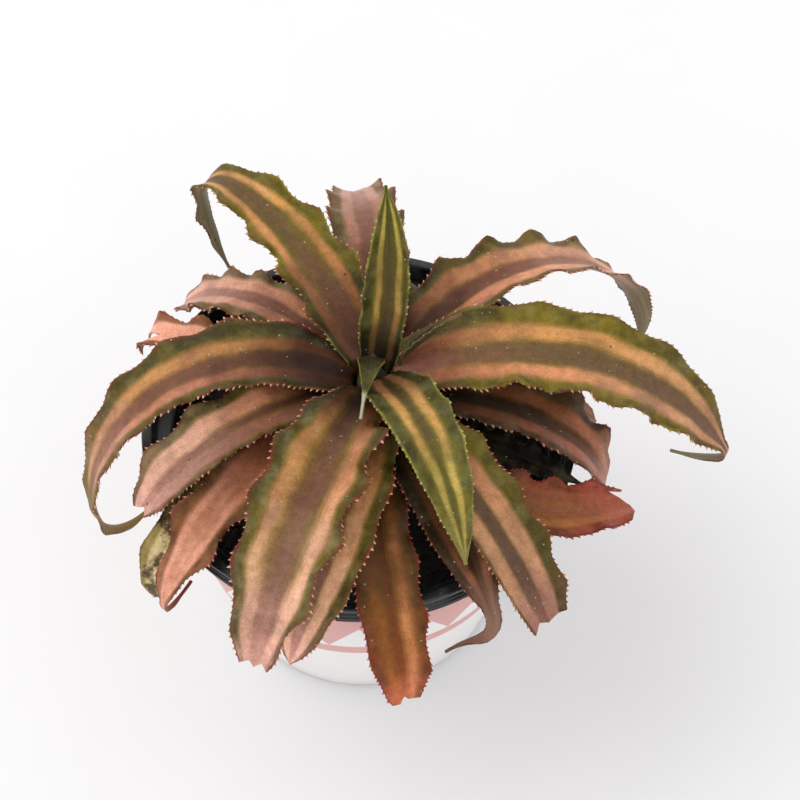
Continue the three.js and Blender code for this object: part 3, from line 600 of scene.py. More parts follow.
leaves = {
    "leaf_01": dict(  # innermost, still folded, with a pale thread of a tip
        azimuth=262, lift=14, droop=34, length=20, width=7.4, seat=29.7, out=2.2, base=0.9, belly=0.08,
        fall=0.95, tail=0.4, tailWidth=0.2, cup=14, wave=(0.2, 0.2), teeth=0, slot="young", look="green",
        dark=0.7, bands=(-1, -0.9, -0.5, -0.4), tip=("#d0d0c0", 0.62),
    ),
    "leaf_02": dict(  # young and upright
        azimuth=70, swerve=30, lift=60, droop=8, length=48, width=13.8, seat=22, out=3.9, base=0.75,
        belly=0.3, cup=28, wave=(0.5, 0.5), teeth=0.5, slot="young", look="green", shade=0.92, dark=0.35,
        bands=(0.28, 0.42, 0.56, 0.74), shift=0.08, halo=0.8, backlitGlow=1, blush=0, tip=("#4a4634", 0.93),
    ),
    "leaf_03": dict(  # thin, standing on edge
        azimuth=22, swerve=-2, lift=42, droop=20, length=21, width=7, seat=22.6, out=7.8, roll=50,
        wave=(0.2, 0.2), teeth=0.3, slot="young", look="green", shade=0.5, bands=(-1, -0.9, -0.5, -0.4),
        tip=("#a88a70", 0.8),
    ),
    "leaf_04": dict(  # young, centre front
        azimuth=300, swerve=-18, lift=34, droop=80, length=66, width=18, seat=21.9, out=4.2, base=0.65,
        belly=0.25, wave=(0.8, 1.2), teeth=0.45, slot="young", look="green", dark=0.8,
        bands=(0.12, 0.27, 0.44, 0.62), rosy=(0.8, 0.9), halo=0.9, backlitGlow=1, tip=("#a89c70", 0.94),
    ),
    "leaf_05": dict(  # broad, on the right, its dried tip bent under
        azimuth=8.5, swerve=-38, lift=20.5, droop=101, droopPower=1.3, length=124, width=27.5, seat=20.1,
        base=0.55, belly=0.25, fall=4.4, tail=0.18, tailWidth=0.16, cup=8, curl=85, curlFrom=0.83,
        curlTo=0.89, wave=(0.8, 3.6), waves=7.2, splay=0.4, teeth=1.4, look="olive", dark=1,
        bands=(0.22, 0.4, 0.58, 0.78), shift=0.1, rosy=(0.1, 0.75), backlitGlow=0.8, blush=0.25, blushFrom=0.55,
        tip=("#b5b09a", 0.87),
    ),
    "leaf_06": dict(  # back left, its tip turned over and hanging
        azimuth=114, swerve=50, lift=24, droop=36, length=111, width=20.4, seat=20.2, belly=0.22, fall=2.8,
        tail=0.34, tailWidth=0.34, endTwist=-55, endFrom=0.5, curl=95, curlFrom=0.52, curlTo=0.76, turn=15,
        wave=(3.2, 1.1), waves=8, splay=0.8, teeth=1.2, look="olive", dark=0.42, bands=(0.3, 0.46, 0.62, 0.8),
        shift=-0.05, rosy=(0.25, 0), halo=0.9, backlitGlow=1, blush=0.1, tip=("#9c987c", 0.68),
    ),
    "leaf_07": dict(  # long, on the left, its tip hooked under
        azimuth=173, swerve=64, lift=30, droop=166, droopPower=1.05, length=143, width=22.5, seat=17.9,
        base=0.55, belly=0.185, fall=2.6, tail=0.354, tailWidth=0.34, endTwist=-30, endFrom=0.554, curl=45,
        curlFrom=0.79, wave=(3.2, 1), waves=8.7, splay=0.6, teeth=1.25, shade=1.1, dark=0.62,
        bands=(0.2, 0.4, 0.56, 0.76), shift=-0.08, stripes=(0.55, 1), rosy=(1, 0.1), halo=0.55, blush=0.5,
        blushFrom=0.35, tip=("#948244", 0.65),
    ),
    "leaf_08": dict(  # the largest, front left, its end torn
        azimuth=250, swerve=-3, lift=26, droop=92, length=91, width=27, seat=19.3, base=0.42, belly=0.42,
        tail=0.02, tailWidth=0.3, wave=(3.8, 1.2), waves=5.5, splay=0.7, teeth=1.2,
        bitten=((-1, 0.02), (-0.5, 0.04), (0, 0.015), (0.35, 0.035), (1, 0.02)),
        bands=(0.24, 0.46, 0.66, 0.84), shift=-0.04, rosy=(0.5, 0.05), halo=1, blush=0.5, blushFrom=0.78,
        scurfAndSheen=1.5,
    ),
    "leaf_09": dict(  # back right, twisting and hanging over the rim
        azimuth=53, swerve=-64, lift=18.9, droop=118, droopPower=1.7, length=116, width=23, seat=14.6,
        base=0.4, belly=0.3, fall=3.2, tail=0.26, tailWidth=0.5, twist=38, endTwist=60, endFrom=0.62,
        wave=(1.9, 1.1), waves=8.6, teeth=1.2, shade=1.1, bands=(0.2, 0.38, 0.66, 0.84), shift=0.06,
        stripes=(0.8, 1), rosy=(0.35, 0.8), halo=0.35, blush=0.5, blushFrom=0.3, tip=("#9a9478", 0.76),
    ),
    "leaf_10": dict(  # front right, its end torn
        azimuth=303, swerve=6, lift=24, droop=88, length=85, width=19, seat=16.9, belly=0.42, fall=4,
        tail=0.02, tailWidth=0.6, wave=(1.5, 1.3), teeth=1.2,
        bitten=((-1, 0.03), (-0.6, 0.035), (0, 0.02), (0.5, 0.045), (0.75, 0.03), (1, 0.02)), look="olive",
        shade=0.9, dark=0.5, bands=(0.18, 0.36, 0.68, 0.86), shift=0.2, rosy=(0.6, 0.4), backlitGlow=0.1, blush=0.15,
        blushFrom=0.8,
    ),
    "leaf_11": dict(  # left, its end torn
        azimuth=201, swerve=16, lift=20.5, droop=74, length=73, width=19, seat=15.6, base=0.45, fall=5,
        tailWidth=0.4, wave=(3, 1.4), waves=5, splay=0.6,
        bitten=((-1, 0.03), (-0.2, 0.06), (0.3, 0.04), (1, 0.03)), shade=0.9, dark=0.18,
        bands=(0.1, 0.28, 0.66, 0.84), shift=-0.08, stripes=(0.35, 0.9), rosy=(0.9, 0.7), blush=0.3,
        blushFrom=0.35,
    ),
    "leaf_12": dict(  # dark, on the right
        azimuth=348.3, lift=16.3, droop=99, droopPower=1.4, length=75, width=20, seat=13.6, fall=5,
        tailWidth=0.5, wave=(1.8, 2.6), waves=5, splay=0.8, look="dark", shade=1.18,
        bands=(0.16, 0.36, 0.6, 0.82), shift=0.1, rosy=(0.2, 1), halo=0.3, blush=0.4, scurfAndSheen=1.6,
    ),
    "leaf_13": dict(  # under leaf_08
        azimuth=265, swerve=-28, lift=19, droop=85, length=82, width=23, seat=14.7, base=0.34, fall=3.2,
        # shade is raised to paint in light, for this leaf lies in leaf_08's shadow
        tailWidth=0.3, wave=(2.4, 1.6), splay=0.4, shade=1.18, dark=0.5, bands=(0.16, 0.34, 0.64, 0.8),
        stripes=(1.3, 1.3), rosy=(0.2, 0.2), halo=0.9, blush=0.3, blushFrom=0.75,
    ),
    "leaf_14": dict(  # pink, back left, its end torn
        azimuth=133, swerve=20, lift=14, droop=72, length=76, width=17, seat=13.2, fall=5, tailWidth=0.5,
        wave=(2, 1.4), waves=7, bitten=((-1, 0.03), (0.1, 0.045), (1, 0.03)), bands=(0.14, 0.3, 0.56, 0.78),
        shift=0.06, stripes=(0.6, 0.8), rosy=(1, 0.7), halo=0.3, blush=0.35, blushFrom=0.2,
    ),
    "leaf_15": dict(  # under leaf_04, its dried tip curled sideways
        azimuth=297, swerve=-4, lift=16, droop=80, length=95, width=19, seat=12.25, base=0.28, tail=0.3,
        tailWidth=0.25, curlFrom=0.72, curlTo=0.84, turn=-140, look="dark", halo=0.5, blush=0.5,
        blushFrom=0.55, tip=("#a8887c", 0.66),
    ),
    "leaf_16": dict(  # at the back, its end torn
        azimuth=90, swerve=12, lift=22, droop=82, length=87, width=21, seat=18.2, base=0.34, fall=3.2,
        tailWidth=0.3, wave=(2.2, 2.2), bitten=((-1, 0.02), (-0.2, 0.05), (0.3, 0.04), (1, 0.02)), slot="old",
        stripes=(0.35, 0.35), rosy=(0.9, 0.9), halo=0.3, blush=0.45, blushFrom=0.3,
    ),
    "leaf_17": dict(  # between leaf_05 and leaf_12, mostly hidden
        azimuth=3, swerve=-4, lift=11, droop=60, length=61, width=14, seat=11.4, tailWidth=0.5,
        wave=(2.4, 2.4), slot="old", look="dark", rosy=(1, 1), blush=0.5,
    ),
    "leaf_18": dict(  # low, front left, salmon, with a red thread of a tip
        azimuth=216.5, swerve=24, lift=11, droop=74, droopPower=1.3, length=96, width=18, seat=12.3, fall=3,
        tail=0.18, curl=120, curlFrom=0.78, curlTo=0.94, wave=(3.2, 1.6), waves=5, splay=0.9, slot="old",
        look="salmon", shade=0.93, dark=0.8, stripes=(0.35, 0.35), rosy=(0.6, 0.3), blush=0.55,
        tip=("#b0564a", 0.88),
    ),
    "leaf_19": dict(  # orange-brown, at the front, its end torn
        azimuth=268, swerve=22, lift=12, droop=92, droopPower=1.35, length=90, width=17.5, seat=11.2,
        base=0.24, belly=0.58, fall=3.4, tail=0.02, tailWidth=0.42, wave=(1.6, 1.4),
        bitten=((-1, 0.03), (-0.2, 0.03), (0.1, 0.045), (0.5, 0.02), (1, 0.03)), slot="old", look="ember",
        dark=0.25, bands=(0.05, 0.4, 0.44, 0.86), stripes=(0.85, 0.6), rosy=(1, 0), halo=0.8, blush=0.5,
        blushFrom=0.85,
    ),
    "leaf_20": dict(  # small, far left, its end torn
        azimuth=158, swerve=4, lift=7, droop=26, length=71, width=11, seat=10.9, belly=0.7, tail=0.02,
        tailWidth=0.5, curl=80, curlFrom=0.76, wave=(2, 2),
        bitten=((-1, 0.03), (-0.2, 0.19), (0.1, 0.14), (1, 0.03)), slot="old", look="salmon",
        stripes=(0.5, 0.5), halo=0,
    ),
    "leaf_21": dict(  # hidden, at the back
        azimuth=66, lift=12, droop=50, length=44, width=15, seat=12, slot="old",
    ),
    "leaf_22": dict(  # hidden, at the back
        azimuth=26, lift=5, droop=36, length=46, width=14, seat=9.8, slot="old", look="ember",
    ),
    "leaf_23": dict(  # hidden, at the back
        azimuth=108, lift=8, droop=40, length=48, width=13, seat=9.4, slot="old", look="salmon",
    ),
    "leaf_24": dict(  # low, front right, red, its end torn
        azimuth=312, swerve=8, lift=4.3, droop=33.6, length=83, width=18.5, seat=9, belly=0.6, fall=3,
        tail=0.02, tailWidth=0.5, curlFrom=0.3, curlTo=0.85, turn=66, wave=(1.4, 1.6),
        bitten=((-1, 0.03), (-0.9, 0.02), (-0.77, 0.09), (-0.48, 0.05), (0, 0.02), (0.6, 0.02), (1, 0.06)),
        slot="old", look="russet", stripes=(0.4, 0.8), rosy=(1, 0), blush=0.3,
    ),
    "leaf_25": dict(  # dark and dried, under leaf_12
        azimuth=335, swerve=6, lift=-1.6, droop=12, length=56, width=12, seat=7.4, base=0.4, teeth=0.6,
        slot="dry", look="dead", shade=0.12, blotch=0.5,
    ),
    "leaf_26": dict(  # dead and straw-coloured, lying out over the rim
        azimuth=207.5, swerve=30, lift=-4, droop=6, length=82, width=18, seat=7.9, tailWidth=0.4, curl=75,
        curlFrom=0.68, wave=(1.2, 1.2), teeth=0.4, slot="dry", look="dead", blotch=0.45,
    ),
}
blade = {
    "thick": 1.0, "thin": 0.45, "tipWidth": 0.9, "spineSteps": 120,
    "toothPitch": 1.7, "toothLength": 0.62, "toothLuck": (0.3, 1.3), "toothless": 0.8, "toothFull": 3.8,
    "sheath": 8, "sheathRows": 6, "sheathInset": 0.25, "sheathLap": 1.5, "sheathScoop": 1.2,
}
# half of a row of points across the blade, from the middle line out to one margin
halfRow = (0, 0.08, 0.2, 0.34, 0.48, 0.63, 0.77, 0.88, 0.96, 1)
# a tooth over its pitch: place, reach, and how far the point is carried forward
toothShape = ((0, 0, 0), (0.45, 0.14, 0), (0.63, 0.42, 0.1), (0.76, 1.0, 0.42), (0.9, 0.12, 0.05))
# ripples of both margins: round and pointed are their two parts, and quick the smaller ripple on
# top.  lead sets the right margin ahead of the left, drift makes their pitch uneven, and they
# calm down towards the root and the tip.  dip is the groove that they leave along the midrib.
ripples = {
    "lead": 2.1, "drift": 0.5, "driftPitch": 5.1, "round": 0.55, "pointed": 0.45,
    "quick": 0.16, "quickPitch": 2.7, "quickStart": 1.3,
    "calmRoot": 0.25, "calmTip": 0.15, "cupRoot": 0.2, "dip": 0.2, "dipWidth": 0.1,
}


def widthShare(leaf, s):
    belly, shoulder = leaf["belly"], 1 - leaf["tail"]
    rising = leaf["base"] + (1 - leaf["base"]) * np.sin(s / belly * math.pi / 2)
    fall = 1 - np.clip((s - belly) / (shoulder - belly), 0, 1) ** leaf["fall"]
    body = leaf["tailWidth"] + (1 - leaf["tailWidth"]) * fall
    end = leaf["tailWidth"] * (np.clip(1 - s, 0, 1) / leaf["tail"]) ** 0.8
    return np.where(s < belly, rising, np.where(s < shoulder, body, end))


def bladeFrame(leaf, s):
    # the directions along, across and up out of the blade, at the share s of its length
    bend = ease((s - leaf["curlFrom"]) / (leaf["curlTo"] - leaf["curlFrom"]))
    droop = leaf["droop"] * np.clip(s, 0, 1) ** leaf["droopPower"]
    rise = np.radians(leaf["lift"] - droop - leaf["curl"] * bend)
    heading = np.radians(leaf["azimuth"] + leaf["swerve"] * s + leaf["turn"] * bend)
    cosH, sinH, cosR, sinR = np.cos(heading), np.sin(heading), np.cos(rise), np.sin(rise)
    along = np.stack([cosR * cosH, cosR * sinH, sinR], -1)
    across = np.stack([sinH, -cosH, 0 * sinH], -1)
    up = np.stack([-sinR * cosH, -sinR * sinH, cosR], -1)
    return along, across, up


def bladeSpine(leaf):
    steps = blade["spineSteps"]
    turn = math.radians(leaf["azimuth"])
    x, y = stemAt[0] + leaf["out"] * math.cos(turn), stemAt[1] + leaf["out"] * math.sin(turn)
    root = np.array([x, y, rimHeight + leaf["seat"]])
    along = bladeFrame(leaf, (np.arange(steps) + 0.5) / steps)[0]
    return np.vstack([root, root + np.cumsum(along * leaf["length"] / steps, axis=0)])


def bladePoint(leaf, spine, s, t, reach=0.0, forward=0.0):
    # s runs from root to tip and t from the left margin, -1, to the right, 1
    r = ripples
    s = np.clip(s, 0, 1)
    places = np.linspace(0, 1, len(spine))
    centre = np.stack([np.interp(s, places, spine[:, k]) for k in range(3)], -1)
    along, across, up = bladeFrame(leaf, s)
    half = np.maximum(leaf["width"] * widthShare(leaf, s), blade["tipWidth"]) / 2
    cup = math.radians(leaf["cup"]) * ease(s / r["cupRoot"])
    calm = ease(s / r["calmRoot"]) * ease((1 - s) / r["calmTip"]) * (half / leaf["width"]) * 2
    # a sine with its crests drawn up to points
    drift = r["drift"] * np.sin(r["driftPitch"] * s + leaf["azimuth"])
    turn = 2 * math.pi * leaf["waves"] * s + np.where(t > 0, r["lead"], 0) + drift
    ripple = r["round"] * np.sin(turn) + r["pointed"] * (1 - 2 * np.abs(np.sin(turn / 2 - math.pi / 4)))
    quick = r["quick"] * np.sin(r["quickPitch"] * turn + r["quickStart"])
    height = np.where(t > 0, leaf["wave"][1], leaf["wave"][0]) * calm
    margin = np.abs(t) ** 3
    side = half * t * np.cos(cup) + np.sign(t) * (reach + leaf["splay"] * height * ripple * margin)
    lifted = half * np.sin(cup) * np.abs(t) ** 1.5 + height * (ripple * margin + quick * np.abs(t) ** 5)
    lifted = lifted - r["dip"] * calm * np.exp(-(t / r["dipWidth"]) ** 2)
    late = ease((s - leaf["endFrom"]) / (1 - leaf["endFrom"]))
    roll = np.radians(leaf["roll"] + leaf["twist"] * s + leaf["endTwist"] * late)
    sideways = (side * np.cos(roll) - lifted * np.sin(roll))[..., None]
    upwards = (side * np.sin(roll) + lifted * np.cos(roll))[..., None]
    return centre + across * sideways + up * upwards + along * np.asarray(forward)[..., None]


# What all the blades share: tints, the strength of each kind of mark, and the gloss
skin = {
    "scurfAndSheen": "#a3a49a", "back": "#9c9684", "dryStreak": "#5c5240", "dots": "#cfc8b8", "pricks": "#2c1c14",
    "blotch": "#3d2a1a", "dotPitch": 2.1, "prickPitch": 7.5, "wander": 0.3, "fray": 0.07, "haloShare": 0.62,
    "deepening": (1.3, 1.31, 1.35), "specular": 0.17,
}


def deepened(tree, tint):
    # a little darker and richer, by a power for each of red, green and blue
    parts = node(tree, "SeparateColor", {0: tint})
    parts = [calc(tree, "POWER", parts.outputs[i], power) for i, power in enumerate(skin["deepening"])]
    return node(tree, "CombineColor", dict(enumerate(parts))).outputs[0]


def leafMaterial(name, leaf):
    look, shade = leafLooks[leaf["look"]], leaf["shade"]
    tint = lambda text: tuple(c * shade for c in colour(text)[:3]) + (1,)
    grey = lambda value: (value, value, value, 1)
    material, tree, shader = newMaterial(name)
    times = lambda first, second: calc(tree, "MULTIPLY", first, second)
    plus = lambda first, second: calc(tree, "ADD", first, second)
    less = lambda first, second: calc(tree, "SUBTRACT", first, second)
    place = node(tree, "TexCoord").outputs["Object"]
    spread = node(tree, "UVMap", uv_map="blade").outputs[0]
    split = node(tree, "SeparateXYZ", {0: spread})
    across, along = split.outputs[0], split.outputs[1]
    seed = leaf["azimuth"] * 0.37
    drawn = {0: spread, 1: (leaf["width"] * 2.6, leaf["length"] * 0.05, 1)}
    strands = node(tree, "VectorMath", drawn, operation="MULTIPLY").outputs[0]
    strands = node(tree, "VectorMath", {0: strands, 1: (seed, seed, seed)}, operation="ADD").outputs[0]
    fibre = node(tree, "TexNoise", {"Vector": strands, "Scale": 1.0, "Detail": 3.0}).outputs[0]
    patch = cloud(tree, place, 12, 2)
    mottle = cloud(tree, place, 2.2, 4, 0.6)
    grain = cloud(tree, place, 0.4, 2, 0.7)

    # how far from the middle line, with wandering borders
    signed = less(times(across, 2.0), 1.0)
    centred = calc(tree, "ABSOLUTE", less(signed, leaf["shift"]))
    wander = plus(times(less(patch, 0.5), skin["wander"]), times(less(fibre, 0.5), skin["fray"]))
    wandered = plus(centred, wander)
    stripeFrom, stripeFull, marginFrom, marginFull = leaf["bands"]
    pair = lambda values: smooth(tree, across, 0.46, 0.54, *values)  # left value, then right
    onStripe = times(smooth(tree, wandered, stripeFrom, stripeFull), pair(leaf["stripes"]))
    onStripe = times(onStripe, smooth(tree, cloud(tree, place, 15, 3), 0.32, 0.6, 0.55, 1.0))
    onMargin = smooth(tree, wandered, marginFrom, marginFull)
    rosy = pair(leaf["rosy"])

    # the stripes and the margin over the centre, each with its own run from root to tip
    stage = plus(along, times(less(patch, 0.5), 0.3))
    run = lambda key: ramp(tree, stage, [(at, tint(text)) for at, text in zip(bandStops, look[key])])
    body = mixed(tree, onStripe, run("centre"), mixed(tree, rosy, run("stripe"), run("rosy")))
    body = mixed(tree, onMargin, body, run("margin"))
    halo = ramp(tree, wandered, [
        (0, grey(0.25)), ((stripeFrom + stripeFull) / 2, grey(0.85)), (stripeFull + 0.08, grey(0)),
        (marginFrom - 0.04, grey(0)), (marginFull - 0.08, grey(1)), (marginFull + 0.16, grey(0.35)),
    ])
    halo = times(halo, smooth(tree, cloud(tree, place, 17, 2), 0.3, 0.6, 0.5, 1.0))
    halo = times(halo, smooth(tree, stage, 0.55, 0.98, skin["haloShare"] * leaf["halo"], 0.0))
    halo = times(halo, smooth(tree, stage, 0.02, 0.3, 0.3, 1.0))
    body = mixed(tree, halo, body, tint(look["halo"]))
    flush = times(smooth(tree, stage, leaf["blushFrom"], 1.0), leaf["blush"])
    body = mixed(tree, flush, body, tint(look["blush"]))
    if leaf["blotch"]:
        spots = cloud(tree, place, 6, 4, 0.6)
        spots = smooth(tree, spots, leaf["blotch"] + 0.08, leaf["blotch"] - 0.08, 0, 0.85)
        body = mixed(tree, spots, body, tint(skin["blotch"]))

    # silvery scurf with a painted sheen, thickest on the margins
    scurfAndSheen = smooth(tree, cloud(tree, place, 5, 4, 0.6), 0.38, 0.72)
    scurfAndSheen = times(scurfAndSheen, smooth(tree, wandered, marginFrom, marginFull, 0.25, 1.0))
    scurfAndSheen = times(scurfAndSheen, look["bloomAndSheen"] * leaf["scurfAndSheen"])
    body = mixed(tree, scurfAndSheen, body, colour(skin["scurfAndSheen"]))

    # light and dark: fibres, mottling, grain, painted shadows on the margins, and painted shade at the root
    light = plus(times(fibre, 0.2), smooth(tree, mottle, 0.3, 0.7, 0.99, 1.29))
    light = plus(light, smooth(tree, grain, 0.3, 0.7, 0.0, 0.34))
    light = less(light, times(onMargin, smooth(tree, cloud(tree, place, 6, 3), 0.35, 0.62, 0.4, -0.1)))
    light = times(light, smooth(tree, along, -0.02, 0.32, leaf["dark"], 1.0))
    lightTint = node(tree, "CombineXYZ", {0: light, 1: light, 2: light}).outputs[0]
    body = mixed(tree, 1.0, body, lightTint, "MULTIPLY")

    # the paler, scurfy back of the blade, and a dried tip
    behind = node(tree, "Attribute", attribute_name="behind").outputs["Fac"]
    back = mixed(tree, smooth(tree, fibre, 0.38, 0.62), tint(look["under"]), colour(skin["back"]))
    back = mixed(tree, smooth(tree, along, 0.6, 1.0, 0.2, 0.4), back, tint(look["blush"]))
    back = mixed(tree, 0.3, back, body)
    body = mixed(tree, times(behind, 0.9), body, back)
    if leaf["tip"]:
        dryTint, dryFrom = colour(leaf["tip"][0]), leaf["tip"][1]
        dried = smooth(tree, plus(along, times(wander, 0.4)), dryFrom - 0.05, dryFrom + 0.07)
        streak = mixed(tree, 0.45, dryTint, colour(skin["dryStreak"]))
        streaked = mixed(tree, smooth(tree, fibre, 0.4, 0.6), dryTint, streak)
        body = mixed(tree, times(dried, 0.85), body, streaked)

    # the coloured rim, with patches of painted backlit glow, and its teeth
    rim = smooth(tree, calc(tree, "ABSOLUTE", signed), 0.91, 0.985)
    rim = times(rim, smooth(tree, cloud(tree, place, 4, 3), 0.35, 0.65, 0.3, 0.85))
    lit = smooth(tree, cloud(tree, place, 9, 2), 0.46, 0.56, 0, leaf["backlitGlow"])
    body = mixed(tree, rim, body, mixed(tree, lit, tint(look["edge"]), tint(look["backlitGlow"])))
    spine = node(tree, "Attribute", attribute_name="spine").outputs["Fac"]
    body = mixed(tree, smooth(tree, spine, 0.1, 0.8), body, tint(look["tooth"]))

    # pale scale dots and a few dark pricks
    dots = node(tree, "TexVoronoi", {"Vector": place, "Scale": 1 / (skin["dotPitch"] * mm)})
    luck = node(tree, "SeparateColor", {0: dots.outputs["Color"]}).outputs[0]
    size = smooth(tree, luck, 0.45, 1.0, 0.0, 0.14)
    dust = smooth(tree, less(dots.outputs["Distance"], size), -0.03, 0.0, 1, 0)
    body = mixed(tree, times(dust, 0.6), body, colour(skin["dots"]))
    dots = node(tree, "TexVoronoi", {"Vector": place, "Scale": 1 / (skin["prickPitch"] * mm)})
    luck = node(tree, "SeparateColor", {0: dots.outputs["Color"]}).outputs[1]
    pricks = times(smooth(tree, dots.outputs["Distance"], 0.03, 0.06, 1, 0), smooth(tree, luck, 0.55, 0.57))
    body = mixed(tree, times(pricks, 0.7), body, colour(skin["pricks"]))

    feed(tree, shader.inputs["Base Color"], deepened(tree, body))
    feed(tree, shader.inputs["Roughness"], plus(smooth(tree, mottle, 0.3, 0.7, 0.36, 0.5), times(scurfAndSheen, 0.8)))
    shader.inputs["Specular IOR Level"].default_value = skin["specular"]
    relief(tree, shader, plus(plus(fibre, times(mottle, 0.6)), times(dust, 0.8)), 0.2, 0.6)
    return material


def toothedRows(leaf):
    # the rows of points along a blade, with each tooth's reach and lean at its margins
    teeth = max(4, round(leaf["length"] / blade["toothPitch"]))
    rows, reaches, forwards = [], [], []
    for tooth in range(teeth):
        for place, reach, forward in toothShape:
            rows.append((tooth + place) / teeth)
            reaches.append(reach)
            forwards.append(forward)
    rows, reaches, forwards = np.array(rows + [1.0]), np.array(reaches + [0.0]), np.array(forwards + [0.0])
    # teeth grow in from the root, and shrink to nothing where the blade is narrow
    half = leaf["width"] * widthShare(leaf, rows) / 2
    room = ease((half - blade["toothless"]) / (blade["toothFull"] - blade["toothless"]))
    size = blade["toothLength"] * leaf["teeth"] * ease(rows / 0.06) * room
    margins = {}
    for side in (0, -1):
        luck = [random.uniform(*blade["toothLuck"]) for _ in range(teeth + 1)]
        luck = np.repeat(luck, len(toothShape))[:len(rows)]
        margins[side] = reaches * size * luck, forwards * size * luck
    return rows, margins


def sheathRows(leaf, columns, root, rootNormal):
    # rows that run down the stem from the blade's root and close round it, lapping at most sheathLap
    # radians each way
    turn = math.radians(leaf["azimuth"])
    radius = leaf["out"] - blade["sheathInset"]
    halfRoot = leaf["width"] * leaf["base"] / 2
    depth = min(blade["sheath"], leaf["length"] * 0.15)
    angle = turn - columns * min(halfRoot / radius, blade["sheathLap"])
    ring = np.stack([stemAt[0] + radius * np.cos(angle), stemAt[1] + radius * np.sin(angle), 0 * angle], -1)
    inward = np.stack([-np.cos(angle), -np.sin(angle), 0 * angle], -1)
    points, normals, places = [], [], []
    for k in range(blade["sheathRows"], 0, -1):
        down = k / blade["sheathRows"]
        wrap = ease(down * 1.3)
        row = root * (1, 1, 0) * (1 - wrap) + ring * wrap
        row[:, 2] = root[:, 2] - depth * down - blade["sheathScoop"] * wrap * columns ** 2
        facing = rootNormal * (1 - wrap) + inward * max(wrap, 0.35)
        points.append(row)
        normals.append(facing / np.linalg.norm(facing, axis=-1, keepdims=True))
        places.append(np.full(len(columns), -0.02 * down))
    return points, normals, places


def slabFaces(rows, columns):
    # quads round a slab whose top grid of points is followed by its bottom grid
    top = np.arange(rows * columns).reshape(rows, columns)
    low = top + rows * columns
    sheets = [
        (top[:-1, :-1], top[:-1, 1:], top[1:, 1:], top[1:, :-1]),
        (low[:-1, :-1], low[1:, :-1], low[1:, 1:], low[:-1, 1:]),
        (top[:-1, 0], top[1:, 0], low[1:, 0], low[:-1, 0]),
        (top[1:, -1], top[:-1, -1], low[:-1, -1], low[1:, -1]),
        (top[-1, :-1], top[-1, 1:], low[-1, 1:], low[-1, :-1]),
        (top[0, 1:], top[0, :-1], low[0, :-1], low[0, 1:]),
    ]
    return np.concatenate([np.stack(sheet, -1).reshape(-1, 4) for sheet in sheets])


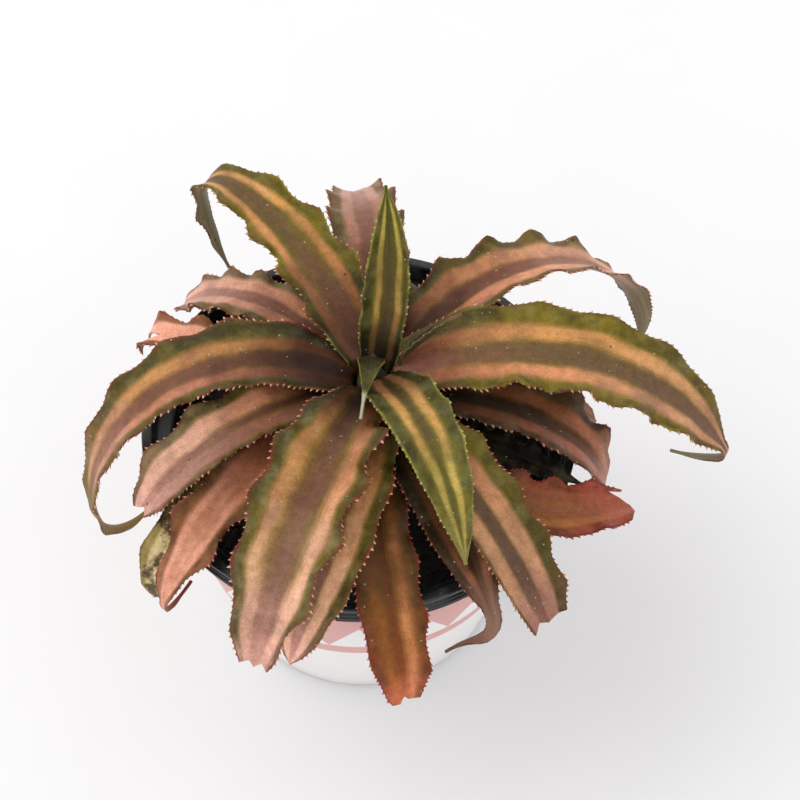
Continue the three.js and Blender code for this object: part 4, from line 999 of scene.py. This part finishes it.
def makeLeaf(name, own):
    leaf = {**leafDefaults, **own}
    spine = bladeSpine(leaf)
    rows, margins = toothedRows(leaf)
    columns = np.array([-t for t in halfRow[:0:-1]] + list(halfRow), dtype=float)
    s, t = np.meshgrid(rows, columns, indexing="ij")
    if leaf["bitten"]:
        places, depths = zip(*leaf["bitten"])
        s = s - np.interp(t, places, depths) * ease((s - 0.7) / 0.3)
    reach, forward = np.zeros_like(s), np.zeros_like(s)
    for side, (reaches, forwards) in margins.items():
        reach[:, side] = reaches
        forward[:, side] = forwards
    middle = bladePoint(leaf, spine, s, t, reach, forward)
    small = 0.004  # the step for measuring which way the blade faces
    alongWay = bladePoint(leaf, spine, s + small, t) - bladePoint(leaf, spine, s - small, t)
    acrossWay = bladePoint(leaf, spine, s, t + small) - bladePoint(leaf, spine, s, t - small)
    normal = np.cross(acrossWay, alongWay)
    normal /= np.maximum(np.linalg.norm(normal, axis=-1, keepdims=True), 1e-9)

    sheath, sheathNormal, sheathPlaces = sheathRows(leaf, columns, middle[0], normal[0])
    middle = np.concatenate([sheath, middle])
    normal = np.concatenate([sheathNormal, normal])
    s = np.concatenate([sheathPlaces, s])
    t = np.concatenate([t[:len(sheath)], t])
    reach = np.concatenate([np.zeros((len(sheath), len(columns))), reach])

    # thinner towards the margins, and thinnest at the points of the teeth
    thick = (blade["thick"] + (blade["thin"] - blade["thick"]) * np.abs(t) ** 2) / 2
    thick = thick * (1 - 0.6 * np.clip(reach, 0, 1))
    top, bottom = middle + normal * thick[..., None], middle - normal * thick[..., None]
    points = np.concatenate([top.reshape(-1, 3), bottom.reshape(-1, 3)])
    uv = np.stack([(t + 1) / 2, s], -1).reshape(-1, 2)
    uv = np.concatenate([uv, uv])
    material = leafMaterial(name + "Skin", leaf)
    pieceName = name.replace("leaf_", "blade_")
    piece = makePiece(pieceName, points, slabFaces(*t.shape), material, uv, 55)
    giveNumber(piece, "behind", np.repeat([0, 1], t.size))
    pointed = (reach / max(blade["toothLength"] * leaf["teeth"], 0.1)).reshape(-1)
    giveNumber(piece, "spine", np.concatenate([pointed, pointed]))
    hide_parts(name)


for name, own in leaves.items():
    makeLeaf(name, own)
print("leaves made:", len(leaves))


# Floor and light, in metres and watts
studio = {
    "floor": "#e8e8e9", "floorShade": "#e4e4e5", "floorHalf": 3, "floorDrop": 0.0002,
    "world": "#fbfbfc", "worldStrength": 1.06, "aim": (0, 0, 0.08),
    "windowLight": {"place": (-1.1, 0.35, 1.35), "power": 11, "size": 1.5, "tint": "#fffdf8"},
    "fillLight": {"place": (0.9, -0.9, 1.4), "power": 2.3, "size": 1.6, "tint": "#f4f7ff"},
}


def makeFloor():
    material, tree, shader = newMaterial("paleFloor")
    place = node(tree, "TexCoord").outputs["Object"]
    tint = mixed(tree, cloud(tree, place, 60, 3), colour(studio["floor"]), colour(studio["floorShade"]))
    feed(tree, shader.inputs["Base Color"], tint)
    shader.inputs["Roughness"].default_value = 0.8
    shader.inputs["Specular IOR Level"].default_value = 0.2
    half, low = studio["floorHalf"], -studio["floorDrop"]
    mesh = bpy.data.meshes.new("floor")
    corners = [(-half, -half, low), (half, -half, low), (half, half, low), (-half, half, low)]
    mesh.from_pydata(corners, [], [(0, 1, 2, 3)])
    mesh.materials.append(material)
    floor = bpy.data.objects.new("floor", mesh)
    bpy.context.scene.collection.objects.link(floor)


def makeLight(name):
    own = studio[name]
    lamp = bpy.data.lights.new(name, "AREA")
    lamp.energy, lamp.size, lamp.color = own["power"], own["size"], colour(own["tint"])[:3]
    made = bpy.data.objects.new(name, lamp)
    made.location = own["place"]
    made.rotation_euler = (Vector(studio["aim"]) - Vector(own["place"])).to_track_quat("-Z", "Y").to_euler()
    bpy.context.scene.collection.objects.link(made)


makeFloor()
makeLight("windowLight")
makeLight("fillLight")
world = bpy.data.worlds.new("softRoom")
world.use_nodes = True
background = world.node_tree.nodes["Background"]
background.inputs[0].default_value = colour(studio["world"])
background.inputs[1].default_value = studio["worldStrength"]
bpy.context.scene.world = world
print("floor and light set")
